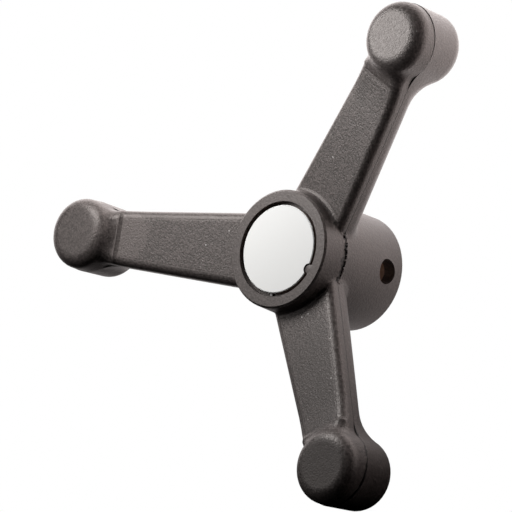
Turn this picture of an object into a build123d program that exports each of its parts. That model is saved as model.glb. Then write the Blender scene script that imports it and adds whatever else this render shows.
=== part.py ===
from build123d import *
import os
from math import atan2, cos, degrees, hypot, radians, sin, tan

# Tension handwheel: three arms with a knob at each end, moulded as a front and a rear half
# that are joined along a dished seam. A metal bush in the hub takes the spindle.
# The origin is the middle of the hub's rear face, and +Z runs along the spindle to the front.

# Wheel
ARM_COUNT = 3
FIRST_ARM_AZIMUTH = 90.0
KNOB_CIRCLE_R = 77.8
DISH_ANGLE = 10.0

# Hub
HUB_HEIGHT = 40.85
HUB_REAR_R = 18.85
HUB_SEAM_R = 19.7
HUB_SEAM_Z = 31.8
HUB_REAR_EDGE = 0.4
RING_R = 19.1
RING_EDGE = 0.6
RECESS_R = 15.35
RECESS_DEPTH = 2.4

# Arms, measured in the seam surface
ARM_ROOT_HALF_WIDTH = 12.0
ARM_TIP_HALF_WIDTH = 9.1
ARM_FRONT_DEPTH = 4.2
ARM_REAR_DEPTH = 7.0
ARM_FRONT_RADIUS = 2.6
ARM_REAR_RADIUS = 5.5
ARM_FRONT_ROOT = 1.5
ARM_REAR_ROOT = 3.5
PANEL_BEND_TO_KNOB = 23.8
PANEL_BEND_R = 70.0
CREASE_TO_KNOB = 14.3
NECK_FOOT_SLOPE = 30.0
NECK_TURN = 15.0
NECK_TO_EDGE = 1.2

# Knobs
KNOB_SEAM_R = 11.8
CAP_R = 11.35
CAP_ABOVE_ARM = 4.36
CAP_EDGE = 4.2
BOSS_R = 11.3
BOSS_BELOW_ARM = 6.2
BOSS_EDGE_TO_ARM = 1.2
CAP_BLEND = 6.0
BOSS_BLEND = 16.0

# Metal bush in the hub, and the cross hole for the pin
BUSH_WALL = 4.7
BUSH_END_WALL = 2.0
BUSH_CLEARANCE = 0.0
BORE_R = 10.0
BORE_DEPTH = 18.0
BORE_TIP_ANGLE = 118.0
PIN_HOLE_R = 4.05
PIN_HOLE_Z = 8.2
PIN_HOLE_AZIMUTH = 30.0

# Centre disc
DISC_CLEARANCE = 1.22
DISC_SINK = 0.2
DISC_EDGE = 0.25
NOTCH_R = 1.8
NOTCH_OFFSET = 0.4
NOTCH_AZIMUTH = 6.5
NIB_WIDTH = 0.9
NIB_REACH = 0.7
NIB_THICKNESS = 0.8
NIB_AZIMUTH = -63.7

# Worked out from the sizes above
SEAM_SLOPE = tan(radians(DISH_ANGLE))
SEAM_APEX_Z = HUB_SEAM_Z - SEAM_SLOPE * HUB_SEAM_R
WHEEL_R = KNOB_CIRCLE_R + KNOB_SEAM_R
SEAM_LAP = 5.0
ROUNDING = 0.55
KNOB_SEAM_Z = SEAM_APEX_Z + SEAM_SLOPE * KNOB_CIRCLE_R
CAP_TOP_Z = KNOB_SEAM_Z + ARM_FRONT_DEPTH + CAP_ABOVE_ARM
CAP_DRAFT = (KNOB_SEAM_R - CAP_R) / (CAP_TOP_Z - KNOB_SEAM_Z)
BOSS_END_Z = KNOB_SEAM_Z - SEAM_SLOPE * KNOB_SEAM_R - ARM_REAR_DEPTH - BOSS_BELOW_ARM
BOSS_EDGE = BOSS_BELOW_ARM - BOSS_EDGE_TO_ARM
BOSS_DRAFT = (KNOB_SEAM_R - BOSS_R) / (KNOB_SEAM_Z - BOSS_END_Z)
BOSS_ROOT_Z = SEAM_APEX_Z + SEAM_SLOPE * WHEEL_R + SEAM_LAP
RING_DRAFT = (HUB_SEAM_R - RING_R) / (HUB_HEIGHT - RING_EDGE - HUB_SEAM_Z)
HUB_DRAFT = (HUB_SEAM_R - HUB_REAR_R) / HUB_SEAM_Z
ARM_START = HUB_SEAM_R / 2
BUSH_R = BORE_R + BUSH_WALL
BUSH_LENGTH = BORE_DEPTH + BORE_R / tan(radians(BORE_TIP_ANGLE / 2)) + BUSH_END_WALL
DISC_R = RECESS_R - DISC_CLEARANCE
PANEL_BEND_S = KNOB_CIRCLE_R - PANEL_BEND_TO_KNOB
CREASE_S = KNOB_CIRCLE_R - CREASE_TO_KNOB
PANEL_BEND_TURN = degrees((CREASE_S - PANEL_BEND_S) / cos(radians(DISH_ANGLE)) / PANEL_BEND_R)
NECK_TOP_Z = CAP_TOP_Z - CAP_EDGE - NECK_TO_EDGE
NECK_REACH = cos(radians(NECK_FOOT_SLOPE)) - cos(radians(NECK_FOOT_SLOPE + NECK_TURN))
WIDTH_SLOPE = (ARM_TIP_HALF_WIDTH - ARM_ROOT_HALF_WIDTH) / (CREASE_S - HUB_SEAM_R)


def seam_z(distance):
    """Height of the seam at a distance from the hub's axis."""
    return SEAM_APEX_Z + SEAM_SLOPE * distance


def half_width(distance):
    """Half the arm's width in the seam, which tapers towards the knob."""
    return ARM_ROOT_HALF_WIDTH + WIDTH_SLOPE * (distance - HUB_SEAM_R)


# Side views of the hub and of the seam are turned from a plane midway between two arms
THIRD = 360 / ARM_COUNT
HUB_PLANE = Plane.XZ.rotated((0, 0, FIRST_ARM_AZIMUTH + THIRD / 2))
KNOB_AXIS = Axis((KNOB_CIRCLE_R, 0, 0), (0, 0, 1))


def rounded_outline(setback, corner, *others):
    """Closed outline whose first corner is rounded from a setback along each of its sides."""
    corner, others = Vector(*corner), [Vector(*p) for p in others]
    start = corner + (others[-1] - corner).normalized() * setback
    end = corner + (others[0] - corner).normalized() * setback
    Bezier(start, start + (corner - start) * ROUNDING, end + (corner - end) * ROUNDING, end)
    Polyline(end, *others, start)


def lengthwise(edges):
    """Edges that run along the arm on +X."""
    return edges.filter_by(lambda e: abs(e.tangent_at(0.5).X) > 0.3)


def along_and_across(point):
    """How far a point is along its nearest arm, and how far beside the arm's middle."""
    azimuth = degrees(atan2(point.Y, point.X))
    turn = radians((azimuth - FIRST_ARM_AZIMUTH + THIRD / 2) % THIRD - THIRD / 2)
    reach = hypot(point.X, point.Y)
    return reach * cos(turn), reach * sin(turn)


def ends_and_middle(edge):
    """Three points of an edge."""
    return [edge.position_at(t) for t in (0, 0.5, 1)]


def in_seam(edge):
    """True for an edge that lies in the seam surface."""
    return all(abs(p.Z - seam_z(hypot(p.X, p.Y))) < 0.05 for p in ends_and_middle(edge))


def joins_knob(edge):
    """True for an edge where an arm runs into the side of its knob."""
    places = [along_and_across(p) for p in ends_and_middle(edge)]
    reach = [hypot(along - KNOB_CIRCLE_R, across) for along, across in places]
    on_side = all(CAP_R - 1 < r < KNOB_SEAM_R + 1 for r in reach)
    return on_side and max(places)[0] < KNOB_CIRCLE_R - 5 and not in_seam(edge)


def joins_hub(edge):
    """True for an edge where an arm runs into the side of the hub."""
    points = ends_and_middle(edge)
    heights = [p.Z for p in points]
    on_side = all(HUB_REAR_R < hypot(p.X, p.Y) < HUB_SEAM_R + 0.1 for p in points)
    at_arm = min(heights) > HUB_SEAM_Z / 2 and max(heights) < HUB_HEIGHT - RING_EDGE - 0.1
    return on_side and at_arm and not in_seam(edge)


# Everything in front of the dished seam
with BuildPart() as front_space:
    with BuildSketch(HUB_PLANE):
        with BuildLine():
            Polyline(
                (0, seam_z(0)),
                (WHEEL_R + SEAM_LAP, seam_z(WHEEL_R + SEAM_LAP)),
                (WHEEL_R + SEAM_LAP, CAP_TOP_Z + SEAM_LAP),
                (0, CAP_TOP_Z + SEAM_LAP),
                close=True,
            )
        make_face()
    revolve(axis=Axis.Z)

# Front of one arm and its knob cap along +X, before they are cut to the seam
with BuildPart() as front_arm:
    with BuildSketch(Plane.XY) as arm_plan:
        with BuildLine():
            Polyline(
                (ARM_START, half_width(ARM_START)),
                (ARM_START, -half_width(ARM_START)),
                (KNOB_CIRCLE_R, -half_width(KNOB_CIRCLE_R)),
                (KNOB_CIRCLE_R, half_width(KNOB_CIRCLE_R)),
                close=True,
            )
        make_face()
    extrude(amount=CAP_TOP_Z)
    # The flat face bends up to a crease, where the hollow neck of the knob starts
    with BuildSketch(Plane.XZ):
        with BuildLine():
            face = Line(
                (ARM_START, seam_z(ARM_START) + ARM_FRONT_DEPTH),
                (PANEL_BEND_S, seam_z(PANEL_BEND_S) + ARM_FRONT_DEPTH),
            )
            bend = JernArc(face @ 1, face % 1, PANEL_BEND_R, PANEL_BEND_TURN)
            neck_start = (cos(radians(NECK_FOOT_SLOPE)), sin(radians(NECK_FOOT_SLOPE)))
            neck_radius = (NECK_TOP_Z - (bend @ 1).Y) / NECK_REACH
            neck = JernArc(bend @ 1, neck_start, neck_radius, NECK_TURN)
            Polyline(
                neck @ 1,
                (KNOB_CIRCLE_R, (neck @ 1).Y),
                (KNOB_CIRCLE_R, seam_z(ARM_START) - SEAM_LAP),
                (ARM_START, seam_z(ARM_START) - SEAM_LAP),
                face @ 0,
            )
        make_face()
    extrude(amount=WHEEL_R, both=True, mode=Mode.INTERSECT)
    front_edges = lengthwise(front_arm.edges())
    fillet(front_edges.filter_by(lambda e: e.center().Z > seam_z(e.center().X)), ARM_FRONT_RADIUS)
    with BuildSketch(Plane.XZ):
        with BuildLine():
            rounded_outline(
                CAP_EDGE,
                (KNOB_CIRCLE_R + CAP_R, CAP_TOP_Z),
                (KNOB_CIRCLE_R, CAP_TOP_Z),
                (KNOB_CIRCLE_R, SEAM_APEX_Z),
                (KNOB_CIRCLE_R + CAP_R + CAP_DRAFT * (CAP_TOP_Z - SEAM_APEX_Z), SEAM_APEX_Z),
            )
        make_face()
    revolve(axis=KNOB_AXIS)

# Rear of one arm and its knob boss along +X, before they are cut to the seam
with BuildPart() as rear_arm:
    with BuildSketch(Plane.XY):
        add(arm_plan.sketch)
    extrude(amount=CAP_TOP_Z)
    with BuildSketch(Plane.XZ):
        with BuildLine():
            Polyline(
                (ARM_START, seam_z(ARM_START) - ARM_REAR_DEPTH),
                (KNOB_CIRCLE_R, seam_z(KNOB_CIRCLE_R) - ARM_REAR_DEPTH),
                (KNOB_CIRCLE_R, seam_z(KNOB_CIRCLE_R) + SEAM_LAP),
                (ARM_START, seam_z(KNOB_CIRCLE_R) + SEAM_LAP),
                close=True,
            )
        make_face()
    extrude(amount=WHEEL_R, both=True, mode=Mode.INTERSECT)
    rear_edges = lengthwise(rear_arm.edges())
    fillet(rear_edges.filter_by(lambda e: e.center().Z < seam_z(e.center().X)), ARM_REAR_RADIUS)
    with BuildSketch(Plane.XZ):
        with BuildLine():
            rounded_outline(
                BOSS_EDGE,
                (KNOB_CIRCLE_R + BOSS_R, BOSS_END_Z),
                (KNOB_CIRCLE_R + BOSS_R + BOSS_DRAFT * (BOSS_ROOT_Z - BOSS_END_Z), BOSS_ROOT_Z),
                (KNOB_CIRCLE_R, BOSS_ROOT_Z),
                (KNOB_CIRCLE_R, BOSS_END_Z),
            )
        make_face()
    revolve(axis=KNOB_AXIS)

# Pocket for the bush
with BuildPart() as bush_pocket:
    with BuildSketch(Plane.XY):
        Circle(BUSH_R + BUSH_CLEARANCE)
    extrude(amount=BUSH_LENGTH)

# Hole in the side of the hub, through the barrel and the bush, for the pin that holds the spindle
with BuildPart() as pin_hole:
    pin_direction = Vector(1, 0, 0).rotate(Axis.Z, PIN_HOLE_AZIMUTH)
    with BuildSketch(Plane((0, 0, PIN_HOLE_Z), z_dir=pin_direction)):
        Circle(PIN_HOLE_R)
    extrude(amount=HUB_SEAM_R + SEAM_LAP)

# Front shell: the ring with the recess for the disc, and the front halves of the arms and knobs
with BuildPart() as front_shell:
    with BuildSketch(HUB_PLANE):
        with BuildLine():
            Polyline(
                (0, SEAM_APEX_Z - SEAM_LAP),
                (HUB_SEAM_R + RING_DRAFT * (HUB_SEAM_Z - SEAM_APEX_Z + SEAM_LAP), SEAM_APEX_Z - SEAM_LAP),
                (RING_R, HUB_HEIGHT - RING_EDGE),
                (RING_R - RING_EDGE, HUB_HEIGHT),
                (RECESS_R, HUB_HEIGHT),
                (RECESS_R, HUB_HEIGHT - RECESS_DEPTH),
                (0, HUB_HEIGHT - RECESS_DEPTH),
                close=True,
            )
        make_face()
    revolve(axis=Axis.Z)
    with PolarLocations(0, ARM_COUNT, start_angle=FIRST_ARM_AZIMUTH):
        add(front_arm.part)
    add(front_space.part, mode=Mode.INTERSECT)
    fillet(front_shell.edges().filter_by(joins_knob), CAP_BLEND)
    fillet(front_shell.edges().filter_by(joins_hub), ARM_FRONT_ROOT)
    add(bush_pocket.part, mode=Mode.SUBTRACT)

# Rear shell: the barrel with the pocket for the bush, and the rear halves of the arms and knobs
with BuildPart() as rear_shell:
    with BuildSketch(HUB_PLANE):
        with BuildLine():
            Polyline(
                (0, 0),
                (HUB_REAR_R - HUB_REAR_EDGE, 0),
                (HUB_REAR_R, HUB_REAR_EDGE),
                (HUB_SEAM_R + HUB_DRAFT * SEAM_LAP, HUB_SEAM_Z + SEAM_LAP),
                (0, HUB_SEAM_Z + SEAM_LAP),
                close=True,
            )
        make_face()
    revolve(axis=Axis.Z)
    with PolarLocations(0, ARM_COUNT, start_angle=FIRST_ARM_AZIMUTH):
        add(rear_arm.part)
    add(front_space.part, mode=Mode.SUBTRACT)
    fillet(rear_shell.edges().filter_by(joins_knob), BOSS_BLEND)
    fillet(rear_shell.edges().filter_by(joins_hub), ARM_REAR_ROOT)
    add(bush_pocket.part, mode=Mode.SUBTRACT)
    add(pin_hole.part, mode=Mode.SUBTRACT)

# Metal bush with the blind bore for the spindle
with BuildPart() as hub_bush:
    with BuildSketch(Plane.XZ):
        with BuildLine():
            Polyline(
                (BORE_R, 0),
                (BUSH_R, 0),
                (BUSH_R, BUSH_LENGTH),
                (0, BUSH_LENGTH),
                (0, BORE_DEPTH + BORE_R / tan(radians(BORE_TIP_ANGLE / 2))),
                (BORE_R, BORE_DEPTH),
                close=True,
            )
        make_face()
    revolve(axis=Axis.Z)
    add(pin_hole.part, mode=Mode.SUBTRACT)

# Bare disc that closes the hub, with a notch to lift it by and the nib left by the mould
with BuildPart() as centre_disc:
    with BuildSketch(Plane.XY.offset(HUB_HEIGHT - RECESS_DEPTH)):
        Circle(DISC_R)
    extrude(amount=RECESS_DEPTH - DISC_SINK)
    chamfer(centre_disc.edges().group_by(Axis.Z)[-1], DISC_EDGE)
    with BuildSketch(Plane.XY.offset(HUB_HEIGHT - RECESS_DEPTH)):
        with PolarLocations(DISC_R + NOTCH_OFFSET, 1, start_angle=NOTCH_AZIMUTH):
            Circle(NOTCH_R)
    extrude(amount=RECESS_DEPTH, mode=Mode.SUBTRACT)
    with BuildSketch(Plane.XY.offset(HUB_HEIGHT - RECESS_DEPTH)):
        with PolarLocations(DISC_R, 1, start_angle=NIB_AZIMUTH):
            Rectangle(2 * NIB_REACH, NIB_WIDTH)
    extrude(amount=NIB_THICKNESS)

front_shell.part.label = "front_shell"
rear_shell.part.label = "rear_shell"
hub_bush.part.label = "hub_bush"
centre_disc.part.label = "centre_disc"

os.makedirs("parts", exist_ok=True)
export_step(front_shell.part, "parts/front_shell.step")
export_step(rear_shell.part, "parts/rear_shell.step")
export_step(hub_bush.part, "parts/hub_bush.step")
export_step(centre_disc.part, "parts/centre_disc.step")
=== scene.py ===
"""Looks of the tension handwheel: finishes, moulding marks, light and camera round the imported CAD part."""

from __future__ import annotations

import logging
from dataclasses import dataclass, field
from enum import Enum
from math import atan2, cos, degrees, hypot, radians, sin, tan

import bmesh
import bpy
from mathutils import Matrix, Vector, noise


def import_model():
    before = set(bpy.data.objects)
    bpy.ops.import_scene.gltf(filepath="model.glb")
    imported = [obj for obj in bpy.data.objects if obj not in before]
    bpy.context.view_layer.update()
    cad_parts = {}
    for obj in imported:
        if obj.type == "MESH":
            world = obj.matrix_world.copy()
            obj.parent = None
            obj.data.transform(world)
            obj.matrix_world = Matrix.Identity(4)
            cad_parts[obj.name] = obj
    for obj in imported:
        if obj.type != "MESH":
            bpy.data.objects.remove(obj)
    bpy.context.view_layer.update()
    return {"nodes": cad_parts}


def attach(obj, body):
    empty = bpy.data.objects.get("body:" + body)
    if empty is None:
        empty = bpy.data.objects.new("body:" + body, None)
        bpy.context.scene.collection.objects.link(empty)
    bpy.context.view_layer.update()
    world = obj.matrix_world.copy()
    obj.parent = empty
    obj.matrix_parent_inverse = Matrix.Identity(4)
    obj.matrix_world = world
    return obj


log = logging.getLogger("handwheel")

MM = 0.001

Colour = tuple[float, float, float]
Place = tuple[float, float, float]
Step = tuple[float, float]

WHITE: Colour = (1.0, 1.0, 1.0)
AXIS: Place = (0.0, 0.0, 1.0)
ORIGIN: Place = (0.0, 0.0, 0.0)


class Arm(Enum):
    """The arms, by the azimuth of their middle in degrees."""

    TOP = 90.0
    LEFT = 210.0
    LOW = 330.0


# Shader nodes


def feed(tree: bpy.types.NodeTree, target: bpy.types.NodeSocket, value: object) -> None:
    """Links or sets an input.

    Args:
        tree: The node tree.
        target: The input socket.
        value: A Value, an output socket or a constant.
    """
    if isinstance(value, Value):
        tree.links.new(value.socket, target)
    elif isinstance(value, bpy.types.NodeSocket):
        tree.links.new(value, target)
    elif target.type == "RGBA":
        target.default_value = (*value, 1.0)
    else:
        target.default_value = value


def add_node(
    tree: bpy.types.NodeTree,
    kind: str,
    settings: dict[str, object] | None = None,
    inputs: dict[str | int, object] | None = None,
) -> bpy.types.Node:
    """Adds a node to a tree.

    Args:
        tree: The node tree.
        kind: The node's type.
        settings: Its attributes, which are set first.
        inputs: The values or links of its sockets, by name or number.

    Returns:
        The new node.
    """
    made = tree.nodes.new(kind)
    for name, value in (settings or {}).items():
        setattr(made, name, value)
    for name, value in (inputs or {}).items():
        feed(tree, made.inputs[name], value)
    return made


def mix(tree: bpy.types.NodeTree, amount: Value, low: object, high: object) -> bpy.types.NodeSocket:
    """Mixes two colours.

    Args:
        tree: The node tree.
        amount: 0 gives low and 1 gives high.
        low: A colour or an output socket.
        high: A colour or an output socket.

    Returns:
        The mixed colour.
    """
    return add_node(tree, "ShaderNodeMix", {"data_type": "RGBA"}, {0: amount, 6: low, 7: high}).outputs[2]


class Value:
    """One number in a shader, so that node maths reads as plain arithmetic."""

    def __init__(self, tree: bpy.types.NodeTree, socket: bpy.types.NodeSocket) -> None:
        """Wraps an output socket.

        Args:
            tree: The node tree.
            socket: The output that carries the number.
        """
        self.tree = tree
        self.socket = socket

    @classmethod
    def constant(cls, tree: bpy.types.NodeTree, number: float) -> Value:
        """Makes a value of a plain number.

        Args:
            tree: The node tree.
            number: The number.

        Returns:
            The value.
        """
        made = add_node(tree, "ShaderNodeValue")
        made.outputs[0].default_value = number
        return cls(tree, made.outputs[0])

    def maths(self, operation: str, *others: Value | float) -> Value:
        """Puts this value and others through a Math node.

        Args:
            operation: The Math node's operation.
            others: Its further inputs.

        Returns:
            The node's result.
        """
        inputs = dict(enumerate((self, *others)))
        return Value(self.tree, add_node(self.tree, "ShaderNodeMath", {"operation": operation}, inputs).outputs[0])

    def __add__(self, other: Value | float) -> Value:
        """The sum."""
        return self.maths("ADD", other)

    __radd__ = __add__

    def __sub__(self, other: Value | float) -> Value:
        """The difference."""
        return self.maths("SUBTRACT", other)

    def __rsub__(self, other: float) -> Value:
        """A plain number less this value."""
        return self * -1.0 + other

    def __mul__(self, other: Value | float) -> Value:
        """The product."""
        return self.maths("MULTIPLY", other)

    __rmul__ = __mul__

    def __truediv__(self, other: Value | float) -> Value:
        """The quotient."""
        return self.maths("DIVIDE", other)

    def __abs__(self) -> Value:
        """The value without its sign."""
        return self.maths("ABSOLUTE")

    def root(self) -> Value:
        """The square root."""
        return self.maths("SQRT")

    def least(self, other: Value | float) -> Value:
        """The smaller of two values."""
        return self.maths("MINIMUM", other)

    def most(self, other: Value | float) -> Value:
        """The larger of two values."""
        return self.maths("MAXIMUM", other)

    def ramp(self, step: Step) -> Value:
        """Rises smoothly from 0 to 1 between two levels.

        Args:
            step: The level that gives 0 and the level that gives 1, in either order.

        Returns:
            The eased value.
        """
        inputs = {"Value": self, "From Min": step[0], "From Max": step[1]}
        made = add_node(self.tree, "ShaderNodeMapRange", {"interpolation_type": "SMOOTHSTEP"}, inputs)
        return Value(self.tree, made.outputs["Result"])


@dataclass(frozen=True)
class Grain:
    """Soft noise in the material.

    Attributes:
        size: Size of its features, in metres.
        detail: How many finer layers it has.
        seed: Picks the pattern.
    """

    size: float
    detail: float = 2.0
    seed: float = 0.0


class Painter:
    """Builds one procedural material on the part's own coordinates."""

    def __init__(self, name: str) -> None:
        """Starts a material with a Principled shader.

        Args:
            name: The material's name.
        """
        self.material = bpy.data.materials.new(name)
        self.material.use_nodes = True
        self.tree = self.material.node_tree
        self.shader = self.tree.nodes["Principled BSDF"]
        coordinates = add_node(self.tree, "ShaderNodeTexCoord")
        self.place = coordinates.outputs["Object"]
        self.normal = coordinates.outputs["Normal"]

    def dress(self, **inputs: object) -> None:
        """Links or sets the shader's inputs.

        Args:
            inputs: The inputs by name, with underscores for spaces.
        """
        for name, value in inputs.items():
            feed(self.tree, self.shader.inputs[name.replace("_", " ")], value)

    def axes(self, vector: bpy.types.NodeSocket) -> tuple[Value, Value, Value]:
        """The X, Y and Z of a vector."""
        split = add_node(self.tree, "ShaderNodeSeparateXYZ", None, {"Vector": vector})
        return tuple(Value(self.tree, output) for output in split.outputs)

    def arm(self, arm: Arm) -> tuple[Value, Value]:
        """The point's place on an arm.

        Args:
            arm: The arm.

        Returns:
            The distance from the hub's axis along the arm, and the distance beside its middle.
        """
        x, y, _ = self.axes(self.place)
        turn = radians(arm.value)
        return x * cos(turn) + y * sin(turn), y * cos(turn) - x * sin(turn)

    def facing(self, step: Step) -> Value:
        """Finds the faces that look to the front.

        Args:
            step: The Z of the surface's own normal that gives 0, and the one that gives 1.

        Returns:
            The eased value.
        """
        return self.axes(self.normal)[2].ramp(step)

    def near(self, spot: Place, step: Step) -> Value:
        """Finds the surroundings of a spot.

        Args:
            spot: The spot in metres.
            step: The distance that gives 0, and the one that gives 1.

        Returns:
            The eased value.
        """
        settings = {"operation": "DISTANCE"}
        made = add_node(self.tree, "ShaderNodeVectorMath", settings, {0: self.place, 1: spot})
        return Value(self.tree, made.outputs["Value"]).ramp(step)

    def grain(self, grain: Grain) -> Value:
        """Adds soft noise.

        Args:
            grain: Its size, detail and pattern.

        Returns:
            The noise, around 0.5.
        """
        inputs = {"Vector": self.place, "W": grain.seed, "Scale": 1 / grain.size, "Detail": grain.detail}
        made = add_node(self.tree, "ShaderNodeTexNoise", {"noise_dimensions": "4D"}, inputs)
        return Value(self.tree, made.outputs[0])

    def mix(self, amount: Value, low: object, high: object) -> bpy.types.NodeSocket:
        """Mixes two colours by an amount from 0 to 1."""
        return mix(self.tree, amount, low, high)

    def bump(self, height: Value, depth: float) -> None:
        """Gives the shader a relief.

        Args:
            height: The relief, where 1 is its full height.
            depth: Its full height in metres.
        """
        inputs = {"Strength": 1.0, "Distance": depth, "Height": height}
        self.dress(Normal=add_node(self.tree, "ShaderNodeBump", None, inputs).outputs[0])


# Features of the moulded plastic


@dataclass(frozen=True)
class Panel:
    """The rough panel on the front of each arm, inside a smooth border.

    Attributes:
        root: Half its width where it starts at the hub, in metres.
        taper: How much narrower it gets per unit of length.
        start: Where it starts, measured from the hub's axis.
        end: Where it ends, before the knob.
        edge: How softly it begins, by the depth inside it.
        border: The worn strip round it, by the distance from its edge.
        front: The facing that counts as an arm's front.
    """

    root: float = 8.9 * MM
    taper: float = 0.066
    start: float = 19.7 * MM
    end: float = 62.2 * MM
    edge: Step = (-0.15 * MM, 0.15 * MM)
    border: Step = (0.45 * MM, 0.1 * MM)
    front: Step = (0.90, 0.96)

    def paint(self, paint: Painter) -> tuple[Value, Value]:
        """Finds the rough panels.

        Args:
            paint: The material in hand.

        Returns:
            1 inside a panel, and 1 along its border.
        """
        inside = border = Value.constant(paint.tree, 0.0)
        for arm in Arm:
            along, across = paint.arm(arm)
            sides = (along - self.start) * -self.taper + self.root - abs(across)
            ends = (self.end - along).least(along - self.start)
            depth = sides.least(ends)
            inside = inside.most(depth.ramp(self.edge))
            border = border.most(abs(depth).ramp(self.border))
        front = paint.facing(self.front)
        return inside * front, border * front


@dataclass(frozen=True)
class Mark:
    """A soft patch on an arm's front that is paler or darker than the rest; some of them are painted highlight or
    painted shade.

    Attributes:
        arm: The arm it is on.
        along: Its distance from the hub's axis in metres.
        across: Its distance beside the arm's middle.
        length: Half its length along the arm.
        width: Half its width.
        tone: How much paler it is, or darker where negative.
        fade: How it fades from its edge to its middle.
    """

    arm: Arm
    along: float
    across: float
    length: float
    width: float
    tone: float
    fade: Step = (1.0, 0.0)

    def paint(self, paint: Painter) -> Value:
        """Paints the mark.

        Args:
            paint: The material in hand.

        Returns:
            How much paler it makes the surface.
        """
        along, across = paint.arm(self.arm)
        far = (along - self.along) / self.length
        side = (across - self.across) / self.width
        return (far * far + side * side).ramp(self.fade) * self.tone


@dataclass(frozen=True)
class Seam:
    """The dished surface in which the two mouldings meet.

    Attributes:
        apex: Its height on the hub's axis, in metres.
        slope: Its rise per unit of distance from the axis.
    """

    apex: float = 28.326 * MM
    slope: float = tan(radians(10.0))

    def height(self, distance: float) -> float:
        """Height of the seam.

        Args:
            distance: Distance from the hub's axis, in metres.

        Returns:
            The height in metres.
        """
        return self.apex + self.slope * distance


@dataclass(frozen=True)
class SeamLine:
    """The line of the seam: thin along arms and knobs, wide and ragged at the hub and the low knob.

    Attributes:
        seam: The surface it follows.
        hub: The distance from the axis at which the hub ends and at which it has begun.
        low_knob: The distance along the low arm at which its wide part begins.
        wander: How far the line strays at the hub, in metres.
        wander_grain: The noise that it follows there.
        width: About half the width of the thin line.
        thin_grain: The noise that thins it.
        thin: The step of that noise.
        thinnest: The share of its width that is always left.
        hub_width: What the crack adds at the hub.
        knob_width: What the crack adds at the low knob.
        crack_grain: The noise that breaks the crack.
        crack_gaps: The step of that noise.
        lip_grain: The noise that breaks the lip.
        lip_gaps: The step of that noise.
        line: The line's edge, in half widths.
        lip: The lip's edge, in half widths.
    """

    seam: Seam = field(default_factory=Seam)
    hub: Step = (20.6 * MM, 20.0 * MM)
    low_knob: Step = (64.0 * MM, 70.0 * MM)
    wander: float = 3.2 * MM
    wander_grain: Grain = Grain(2.4 * MM, 3.0, 5.0)
    width: float = 0.11 * MM
    thin_grain: Grain = Grain(6.0 * MM, 2.0, 11.0)
    thin: Step = (0.30, 0.45)
    thinnest: float = 0.5
    hub_width: float = 0.5 * MM
    knob_width: float = 0.34 * MM
    crack_grain: Grain = Grain(1.4 * MM, 2.0, 6.0)
    crack_gaps: Step = (0.35, 0.6)
    lip_grain: Grain = Grain(3.0 * MM, 2.0, 14.0)
    lip_gaps: Step = (0.4, 0.6)
    line: Step = (1.5, 0.8)
    lip: Step = (4.0, 1.8)

    def paint(self, paint: Painter) -> tuple[Value, Value]:
        """Draws the seam.

        Args:
            paint: The material in hand.

        Returns:
            1 in the line, and 1 along the lip beside it at the hub, which is raised by the bump and painted paler
            as a painted highlight.
        """
        x, y, z = paint.axes(paint.place)
        reach = (x * x + y * y).root()
        hub = reach.ramp(self.hub)
        ragged = (paint.grain(self.wander_grain) - 0.5) * hub * self.wander
        off = abs(z - reach * self.seam.slope - self.seam.apex + ragged)
        thin = paint.grain(self.thin_grain).ramp(self.thin) * (1.0 - self.thinnest) + self.thinnest
        along, _ = paint.arm(Arm.LOW)
        crack = hub * self.hub_width + along.ramp(self.low_knob) * self.knob_width
        width = thin * self.width + crack * paint.grain(self.crack_grain).ramp(self.crack_gaps)
        ratio = off / width
        # Painted highlight: the lip beside the crack at the hub is painted paler where it catches the light.
        lip = ratio.ramp(self.lip) * hub * paint.grain(self.lip_grain).ramp(self.lip_gaps)
        return ratio.ramp(self.line), lip


@dataclass(frozen=True)
class Dust:
    """White specks: a few that can be told apart, and fine ones all over.

    Attributes:
        spots: The places of the larger specks, in millimetres.
        edge: Their edge, by the distance from their middle.
        grain: The noise that scatters the fine ones.
        scatter: Its step.
        share: How white the fine ones are.
    """

    spots: tuple[Place, ...] = (
        (20.9, -10.3, 36.6),
        (19.5, -12.4, 36.6),
        (45.5, -19.2, 41.2),
        (35.0, -10.6, 38.8),
        (-23.9, -7.6, 36.8),
        (-27.8, -15.9, 38.2),
        (-3.0, 33.5, 38.4),
        (7.3, 85.0, 47.0),
    )
    edge: Step = (0.24 * MM, 0.14 * MM)
    grain: Grain = Grain(0.7 * MM, 1.0, 21.0)
    scatter: Step = (0.77, 0.80)
    share: float = 0.35

    def paint(self, paint: Painter) -> Value:
        """Finds the specks.

        Args:
            paint: The material in hand.

        Returns:
            1 on a speck.
        """
        total = Value.constant(paint.tree, 0.0)
        for spot in self.spots:
            total = total.most(paint.near(tuple(c * MM for c in spot), self.edge))
        return total.most(paint.grain(self.grain).ramp(self.scatter) * self.share)


# Finishes


@dataclass(frozen=True)
class Tone:
    """How pale the plastic is between its two colours.

    Attributes:
        base: The plain surface.
        contrast: What the grain adds everywhere.
        panel_contrast: What it adds on the rough panels.
        sparkle: The share of the coarser grain.
        broad: The share of the cloudy noise.
        mark_sparkle: How strongly the grain breaks up the marks.
        mark_base: The marks without the grain.
        worn: The worn border of the panels.
        worn_gaps: The step that breaks up the border.
        lip: How much paler the lip beside the crack is painted, a painted highlight.
        limit: The palest tone.
        front: The facing that takes marks.
    """

    base: float = 0.45
    contrast: float = 1.6
    panel_contrast: float = 1.3
    sparkle: float = 1.4
    broad: float = 0.5
    mark_sparkle: float = 2.8
    mark_base: float = -0.4
    worn: float = 0.9
    worn_gaps: Step = (0.5, 0.66)
    lip: float = 0.7
    limit: float = 3.6
    front: Step = (0.85, 0.95)


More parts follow.
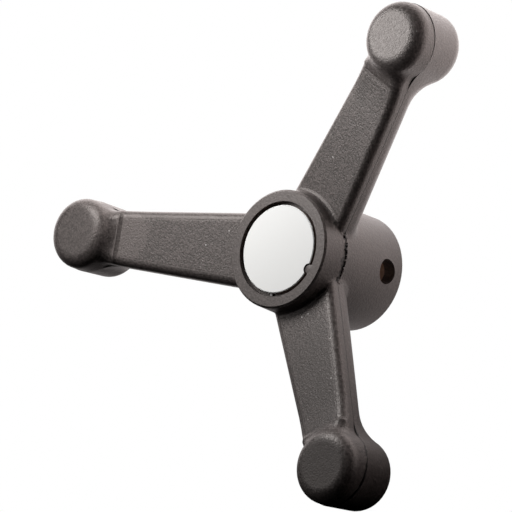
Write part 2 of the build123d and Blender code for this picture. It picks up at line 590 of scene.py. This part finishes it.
@dataclass(frozen=True)
class Relief:
    """The plastic's fine relief.

    Attributes:
        fine: Height of the finer grain.
        sparkle: Height of the coarser grain.
        panel: What both gain on the rough panels.
        crack: Depth of the seam's line.
        lip: Height of the lip beside it.
        depth: What a height of 1 is, in metres.
    """

    fine: float = 0.9
    sparkle: float = 0.8
    panel: float = 0.3
    crack: float = 3.0
    lip: float = 0.8
    depth: float = 0.095 * MM


@dataclass(frozen=True)
class MouldedPlastic:
    """Dark warm-grey moulded plastic with rough arm panels, a seam line, specks of dust, a painted highlight on the
    left arm and painted shade on the low arm.
    """

    colour: Colour = (0.036, 0.0307, 0.0288)
    pale: Colour = (0.086, 0.0725, 0.069)
    crack: Colour = (0.004, 0.004, 0.004)
    dust_colour: Colour = (0.75, 0.72, 0.70)
    sheen_colour: Colour = (1.0, 0.91, 0.87)
    sheen: float = 0.5
    roughness: float = 0.42
    roughness_spread: float = 0.3
    panel_roughness: float = 0.06
    fine: Grain = Grain(0.50 * MM)
    sparkle: Grain = Grain(0.68 * MM, 1.0, 8.0)
    broad: Grain = Grain(9.0 * MM, 4.0, 3.0)
    tone: Tone = field(default_factory=Tone)
    relief: Relief = field(default_factory=Relief)
    panel: Panel = field(default_factory=Panel)
    seam_line: SeamLine = field(default_factory=SeamLine)
    dust: Dust = field(default_factory=Dust)
    marks: tuple[Mark, ...] = (
        # Painted highlight: the pale patch at the end of the left arm stands in for a lamp's reflection.
        Mark(Arm.LEFT, 61.5 * MM, -0.8 * MM, 9.0 * MM, 9.0 * MM, 2.8),
        Mark(Arm.TOP, 56.5 * MM, 3.8 * MM, 7.0 * MM, 3.0 * MM, -0.45),
        Mark(Arm.LEFT, 42.0 * MM, -7.4 * MM, 9.0 * MM, 1.1 * MM, 0.35),
        Mark(Arm.TOP, 40.0 * MM, -6.5 * MM, 12.0 * MM, 1.2 * MM, 0.30),
        # Painted shade: the low arm is painted darker, standing in for the light falling off towards it.
        Mark(Arm.LOW, 58.0 * MM, 0.0 * MM, 44.0 * MM, 17.0 * MM, -0.45),
    )
    name: str = "moulded plastic"

    def all_marks(self, paint: Painter) -> Value:
        """Adds up the paler and darker patches, the painted highlight and painted shade among them.

        Args:
            paint: The material in hand.

        Returns:
            How much paler the surface is.
        """
        total = Value.constant(paint.tree, 0.0)
        for mark in self.marks:
            total = total + mark.paint(paint)
        return total * paint.facing(self.tone.front)

    def material(self) -> bpy.types.Material:
        """Builds the material.

        Returns:
            The new material.
        """
        paint, tone, relief = Painter(self.name), self.tone, self.relief
        inside, border = self.panel.paint(paint)
        line, lip = self.seam_line.paint(paint)
        fine, sparkle, broad = (paint.grain(grain) for grain in (self.fine, self.sparkle, self.broad))

        contrast = inside * tone.panel_contrast + tone.contrast
        grains = (fine - 0.5) * contrast + (sparkle - 0.5) * contrast * tone.sparkle + (broad - 0.5) * tone.broad
        # The patches include a painted highlight on the left arm and painted shade on the low arm.
        marks = self.all_marks(paint) * (sparkle * tone.mark_sparkle + tone.mark_base)
        worn = border * sparkle.ramp(tone.worn_gaps) * tone.worn
        # The lip's paler band is a painted highlight.
        pale = (grains + tone.base + marks + worn + lip * tone.lip).least(tone.limit).most(0.0)
        body = paint.mix(line, paint.mix(pale, self.colour, self.pale), self.crack)

        panel = inside * relief.panel
        height = fine * (panel + relief.fine) + sparkle * (panel + relief.sparkle)
        paint.bump(height - line * relief.crack + lip * relief.lip, relief.depth)
        paint.dress(
            Base_Color=paint.mix(self.dust.paint(paint), body, self.dust_colour),
            Roughness=(sparkle - 0.5) * self.roughness_spread + inside * self.panel_roughness + self.roughness,
            Specular_IOR_Level=self.sheen,
            Specular_Tint=self.sheen_colour,
        )
        return paint.material


@dataclass(frozen=True)
class DiscPlastic:
    """Smooth pale plastic of the bare centre disc, with its side faces painted brownish as painted shade."""

    colour: Colour = (0.79, 0.785, 0.77)
    shade: float = 0.975
    clouds: Grain = Grain(12.0 * MM)
    # Painted shade: the brownish colour given to the disc's side faces, which lie in shadow.
    edge: Colour = (0.20, 0.15, 0.125)
    painted_shade_facing: Step = (0.7, 0.3)
    roughness: float = 0.45
    sheen: float = 0.2
    name: str = "disc plastic"

    def material(self) -> bpy.types.Material:
        """Builds the material.

        Returns:
            The new material.
        """
        paint = Painter(self.name)
        shaded = tuple(self.shade * c for c in self.colour)
        face = paint.mix(paint.grain(self.clouds), shaded, self.colour)
        paint.dress(
            # The side faces are darkened to brown: painted shade.
            Base_Color=paint.mix(paint.facing(self.painted_shade_facing), face, self.edge),
            Roughness=self.roughness,
            Specular_IOR_Level=self.sheen,
        )
        return paint.material


@dataclass(frozen=True)
class TurnedMetal:
    """Turned metal of the hub's bush, dull and brownish."""

    colour: Colour = (0.42, 0.34, 0.29)
    grain: Grain = Grain(1.5 * MM)
    roughness: float = 0.45
    roughness_spread: float = 0.2
    metallic: float = 0.6
    name: str = "turned metal"

    def material(self) -> bpy.types.Material:
        """Builds the material.

        Returns:
            The new material.
        """
        paint = Painter(self.name)
        roughness = paint.grain(self.grain) * self.roughness_spread + self.roughness
        paint.dress(Base_Color=self.colour, Roughness=roughness, Metallic=self.metallic)
        return paint.material


# Moulding marks with a shape


def point(radius: float, azimuth: float, height: float) -> Vector:
    """Turns a place round the hub's axis into a vector.

    Args:
        radius: Distance from the axis in metres.
        azimuth: Angle in degrees.
        height: Height in metres.

    Returns:
        The place in the part's frame.
    """
    return Vector((radius * cos(radians(azimuth)), radius * sin(radians(azimuth)), height))


def finished(name: str, made: bmesh.types.BMesh, material: bpy.types.Material) -> bpy.types.Object:
    """Turns a bmesh into an object that belongs to the part.

    Args:
        name: The object's name.
        made: Its shape in the part's frame; it is freed.
        material: Its material.

    Returns:
        The new object.
    """
    bmesh.ops.recalc_face_normals(made, faces=made.faces)
    mesh = bpy.data.meshes.new(name)
    made.to_mesh(mesh)
    made.free()
    for face in mesh.polygons:
        face.use_smooth = True
    mesh.materials.append(material)
    piece = bpy.data.objects.new(name, mesh)
    bpy.context.scene.collection.objects.link(piece)
    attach(piece, "root")
    log.info("piece %s: %d faces", name, len(mesh.polygons))
    return piece


@dataclass(frozen=True)
class SeamFlash:
    """Thin ragged flash where the two mouldings meet on the hub, between the top and the low arm.

    Attributes:
        radius: Where its foot lies, from the hub's axis in metres.
        root: How deep it reaches into the hub.
        start: Where it starts, in degrees.
        end: Where it ends.
        steps: How many pieces its length is divided into.
        drop: How far below the seam it runs.
        reach: How far it stands out.
        reach_base: The share of its reach that is even.
        reach_spread: The share that is ragged.
        half_height: Half the height of its foot.
        wander: How far it strays up and down.
        edge_wander: How far its edge strays besides.
        waves: How many times it wavers along its length.
        roughness: How much finer the ragged edge is than that.
        wander_place: Where its straying is read from the noise.
        name: Its name.
        seam: The surface it follows.
    """

    radius: float = 19.62 * MM
    root: float = 0.1 * MM
    start: float = 6.0
    end: float = 52.0
    steps: int = 110
    drop: float = 0.85 * MM
    reach: float = 0.85 * MM
    reach_base: float = 0.75
    reach_spread: float = 0.9
    half_height: float = 0.6 * MM
    wander: float = 0.55 * MM
    edge_wander: float = 0.1 * MM
    waves: float = 14.0
    roughness: float = 2.3
    wander_place: Place = (0.0, 5.0, 0.0)
    name: str = "seam_flash"
    seam: Seam = field(default_factory=Seam)

    def roughen(self, vert: bmesh.types.BMVert) -> None:
        """Moves one vertex of the even ridge to its ragged place; the ridge fades out towards its ends.

        Args:
            vert: The vertex.
        """
        azimuth = degrees(atan2(vert.co.y, vert.co.x))
        part = min(max((azimuth - self.start) / (self.end - self.start), 0.0), 1.0)
        place = Vector((part * self.waves, 0.0, 0.0))
        ragged = noise.noise(place * self.roughness)
        height = vert.co.z + noise.noise(place + Vector(self.wander_place)) * self.wander
        distance = hypot(vert.co.x, vert.co.y)
        if distance > self.radius - self.root / 2:
            taper = sin(radians(180.0 * part)) ** 0.5
            distance += self.reach * (self.reach_base + self.reach_spread * ragged) * taper
            height += self.edge_wander * ragged
        vert.co = point(distance, azimuth, height)

    def build(self, material: bpy.types.Material) -> bpy.types.Object:
        """Spins a three-sided section round the hub and roughens it.

        Args:
            material: Its material.

        Returns:
            The flash.
        """
        made = bmesh.new()
        middle = self.seam.height(self.radius) - self.drop
        inner = self.radius - self.root
        section = ((inner, middle + self.half_height), (self.radius, middle), (inner, middle - self.half_height))
        made.faces.new([made.verts.new(point(distance, self.start, height)) for distance, height in section])
        bmesh.ops.spin(
            made,
            geom=made.verts[:] + made.edges[:] + made.faces[:],
            cent=ORIGIN,
            axis=AXIS,
            angle=radians(self.end - self.start),
            steps=self.steps,
            use_merge=False,
        )
        for vert in made.verts:
            self.roughen(vert)
        return finished(self.name, made, material)


@dataclass(frozen=True)
class Lump:
    """A small uneven lump of plastic left at the seam.

    Attributes:
        name: Its name.
        radius: Its distance from the hub's axis in metres.
        azimuth: Its direction in degrees.
        height: Its height in metres.
        size: Its half lengths outwards, sideways and upwards.
        uneven: How far it swells and sinks, as a share of its size.
        waves: How many times it does so across its size.
    """

    name: str
    radius: float
    azimuth: float
    height: float
    size: Place
    uneven: float = 0.22
    waves: float = 1.7

    def build(self, material: bpy.types.Material) -> bpy.types.Object:
        """Builds the lump from a ball that noise pushes in and out.

        Args:
            material: Its material.

        Returns:
            The lump.
        """
        made = bmesh.new()
        bmesh.ops.create_icosphere(made, subdivisions=3, radius=1.0)
        turn = Matrix.Rotation(radians(self.azimuth), 4, "Z")
        centre = point(self.radius, self.azimuth, self.height)
        for vert in made.verts:
            swell = 1.0 + self.uneven * noise.noise(vert.co * self.waves + Vector((self.azimuth, 0.0, 0.0)))
            scaled = Vector(c * s * swell for c, s in zip(vert.co, self.size))
            vert.co = centre + turn @ scaled
        return finished(self.name, made, material)


@dataclass(frozen=True)
class NotchKey:
    """The low half-round key of the ring that fills the disc's notch.

    Attributes:
        radius: Its radius in metres.
        circle: Its distance from the hub's axis.
        azimuth: Its direction in degrees.
        top: The height of its top.
        depth: How deep it reaches.
        edge: Its bevelled edge.
        sides: How many sides its round wall has.
        edge_steps: How many steps its edge has.
        name: Its name.
    """

    radius: float = 1.62 * MM
    circle: float = 14.6 * MM
    azimuth: float = 6.5
    top: float = 40.35 * MM
    depth: float = 1.7 * MM
    edge: float = 0.35 * MM
    sides: int = 40
    edge_steps: int = 3
    name: str = "notch_key"

    def build(self, material: bpy.types.Material) -> bpy.types.Object:
        """Builds the key with a bevelled top.

        Args:
            material: Its material.

        Returns:
            The key.
        """
        made = bmesh.new()
        size = {"radius1": self.radius, "radius2": self.radius, "depth": self.depth}
        bmesh.ops.create_cone(made, cap_ends=True, segments=self.sides, **size)
        rim = [edge for edge in made.edges if all(vert.co.z > 0 for vert in edge.verts)]
        bmesh.ops.bevel(
            made, geom=rim, offset=self.edge, segments=self.edge_steps, profile=0.5, affect="EDGES", material=-1
        )
        centre = point(self.circle, self.azimuth, self.top - self.depth / 2)
        bmesh.ops.translate(made, verts=made.verts, vec=centre)
        return finished(self.name, made, material)


@dataclass(frozen=True)
class Handwheel:
    """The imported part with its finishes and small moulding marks."""

    shell: MouldedPlastic = field(default_factory=MouldedPlastic)
    disc: DiscPlastic = field(default_factory=DiscPlastic)
    bush: TurnedMetal = field(default_factory=TurnedMetal)
    flash: SeamFlash = field(default_factory=SeamFlash)
    key: NotchKey = field(default_factory=NotchKey)
    lumps: tuple[Lump, ...] = (
        Lump("flash_lump_low", 20.1 * MM, 5.5, 31.2 * MM, (0.7 * MM, 1.0 * MM, 1.1 * MM)),
        Lump("flash_lump_top", 19.7 * MM, 50.0, 31.6 * MM, (0.5 * MM, 0.8 * MM, 0.7 * MM)),
    )

    def build(self, nodes: dict[str, bpy.types.Object]) -> None:
        """Gives every CAD node its finish and adds the moulding marks.

        Args:
            nodes: The CAD nodes by name.
        """
        plastic = self.shell.material()
        finishes = {
            "front_shell": plastic,
            "rear_shell": plastic,
            "hub_bush": self.bush.material(),
            "centre_disc": self.disc.material(),
        }
        for name, material in finishes.items():
            mesh = nodes[name].data
            mesh.materials.clear()
            mesh.materials.append(material)
            log.info("node %s: %s", name, material.name)
        for mark in (self.flash, self.key, *self.lumps):
            mark.build(plastic)


# Stage


@dataclass(frozen=True)
class Softbox:
    """One square lamp, placed from the middle of the part along the photograph's axes.

    Attributes:
        name: Its name.
        right: Distance to the right in the photograph, in metres.
        up: Distance upwards in the photograph.
        back: Distance towards the camera.
        power: Power in watts.
        size: Length of a side in metres.
    """

    name: str
    right: float
    up: float
    back: float
    power: float
    size: float


@dataclass(frozen=True)
class Studio:
    """White floor and background, lamps and camera as in the photograph.

    Attributes:
        camera_place: The camera's place in the part's frame, in metres.
        right: The photograph's direction to the right.
        up: Its direction upwards.
        back: Its direction towards the camera.
        lens: Focal length in millimetres.
        sensor: Sensor width in millimetres.
        clip: The nearest and farthest distance that the camera sees.
        middle: What the lamps point at.
        softboxes: The lamps.
        floor_size: Length of the floor's side.
        floor_gap: How far it lies below the part.
        floor_glow: Its brightest level, as the part sees it.
        floor_rise: Where it gets bright, measured upwards in the photograph.
        floor_colour: Its colour, as the part sees it.
    """

    camera_place: Place = (0.80533, 0.28164, 1.04651)
    right: Place = (0.58357, 0.52356, -0.62075)
    up: Place = (-0.53289, 0.8237, 0.19376)
    back: Place = (0.61276, 0.21772, 0.75969)
    lens: float = 294.73
    sensor: float = 36.0
    clip: Step = (0.05, 20.0)
    middle: Place = (0.0, 0.0, 0.04)
    softboxes: tuple[Softbox, ...] = (
        Softbox("key", -0.11, 0.12, 0.03, 0.37, 0.10),
        Softbox("side", -0.45, 0.13, 0.10, 0.44, 0.26),
        Softbox("right", 0.30, 0.20, -0.02, 1.6, 0.20),
        Softbox("rear_right", 0.20, 0.24, -0.07, 2.4, 0.15),
        Softbox("spark", -0.05, 0.18, 0.08, 0.012, 0.05),
    )
    floor_size: float = 6.0
    floor_gap: float = 0.0005
    floor_glow: float = 3.2
    floor_rise: Step = (-0.068, 0.09)
    floor_colour: Colour = (1.0, 0.93, 0.92)

    def towards(self, right: float, up: float, back: float) -> Vector:
        """Turns a distance in the photograph's axes into the part's frame."""
        return Vector(self.right) * right + Vector(self.up) * up + Vector(self.back) * back

    def camera(self) -> None:
        """Makes the photograph's camera."""
        data = bpy.data.cameras.new("camera")
        data.lens = self.lens
        data.sensor_width = self.sensor
        data.clip_start, data.clip_end = self.clip
        made = bpy.data.objects.new("camera", data)
        bpy.context.scene.collection.objects.link(made)
        turn = Matrix((self.right, self.up, self.back)).transposed().to_4x4()
        made.matrix_world = Matrix.Translation(self.camera_place) @ turn
        bpy.context.scene.camera = made

    @staticmethod
    def camera_ray(tree: bpy.types.NodeTree) -> Value:
        """1 for what the camera sees by itself, and 0 for what lights the part."""
        return Value(tree, add_node(tree, "ShaderNodeLightPath").outputs["Is Camera Ray"])

    def world(self) -> None:
        """White behind the object for the camera, and dark for the part."""
        world = bpy.data.worlds.new("world")
        world.use_nodes = True
        bpy.context.scene.world = world
        tree = world.node_tree
        background = tree.nodes["Background"]
        feed(tree, background.inputs["Strength"], self.camera_ray(tree))
        feed(tree, background.inputs["Color"], WHITE)

    def floor(self) -> None:
        """A floor that the camera sees as plain white and that glows towards the part's far side."""
        bpy.ops.mesh.primitive_plane_add(size=self.floor_size, location=(0.0, 0.0, -self.floor_gap))
        floor = bpy.context.object
        floor.name = "floor"
        material = bpy.data.materials.new("floor")
        material.use_nodes = True
        tree = material.node_tree
        place = add_node(tree, "ShaderNodeTexCoord").outputs["Object"]
        flat = Vector((self.up[0], self.up[1], 0.0)).normalized()
        along = add_node(tree, "ShaderNodeVectorMath", {"operation": "DOT_PRODUCT"}, {0: place, 1: flat})
        level = Value(tree, along.outputs["Value"]).ramp(self.floor_rise) * self.floor_glow
        camera = self.camera_ray(tree)
        inputs = {"Color": mix(tree, camera, self.floor_colour, WHITE), "Strength": camera + (1.0 - camera) * level}
        glow = add_node(tree, "ShaderNodeEmission", None, inputs)
        feed(tree, tree.nodes["Material Output"].inputs[0], glow.outputs[0])
        floor.data.materials.append(material)

    def softbox(self, box: Softbox) -> None:
        """Adds a lamp that the camera doesn't see.

        Args:
            box: Its place, power and size.
        """
        data = bpy.data.lights.new(box.name, "AREA")
        data.energy, data.size = box.power, box.size
        made = bpy.data.objects.new(box.name, data)
        bpy.context.scene.collection.objects.link(made)
        offset = self.towards(box.right, box.up, box.back)
        made.location = Vector(self.middle) + offset
        made.rotation_euler = (-offset).to_track_quat("-Z", "Y").to_euler()
        made.visible_camera = False

    def build(self) -> None:
        """Sets the stage."""
        self.camera()
        self.world()
        self.floor()
        for box in self.softboxes:
            self.softbox(box)
        log.info("stage: %d lamps", len(self.softboxes))


def main() -> None:
    """Builds the scene."""
    logging.basicConfig(level=logging.INFO)
    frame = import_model()
    bpy.context.scene.view_settings.view_transform = "Standard"
    Handwheel().build(frame["nodes"])
    Studio().build()


if __name__ == "__main__":
    main()
